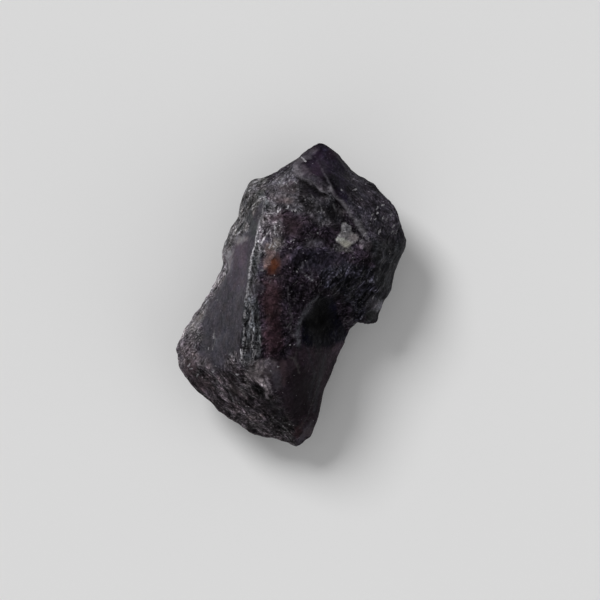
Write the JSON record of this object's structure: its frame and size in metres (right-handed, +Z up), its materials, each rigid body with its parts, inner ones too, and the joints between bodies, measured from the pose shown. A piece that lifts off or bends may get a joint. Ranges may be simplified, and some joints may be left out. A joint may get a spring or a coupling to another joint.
{
  "type": "rough amethyst lump",
  "caption": "Rough lump of dark amethyst with a sharp crest, a smooth flute beside it, a hollow and a pale chip, lying on a flat fracture face.",
  "frame": {"origin": "middle of the box round the lump, on the surface that its flat face rests on", "axes": "+Y along the lump from the foot of the column to the peak, +Z up from the flat face, +X to the right as seen from above"},
  "size_m": [0.046, 0.0604, 0.03],
  "materials": {
    "amethyst": "broken quartz, satin with glossy chips"
  },
  "bodies": {
    "root": {"amethyst": "amethyst"}
  },
  "joints": []
}
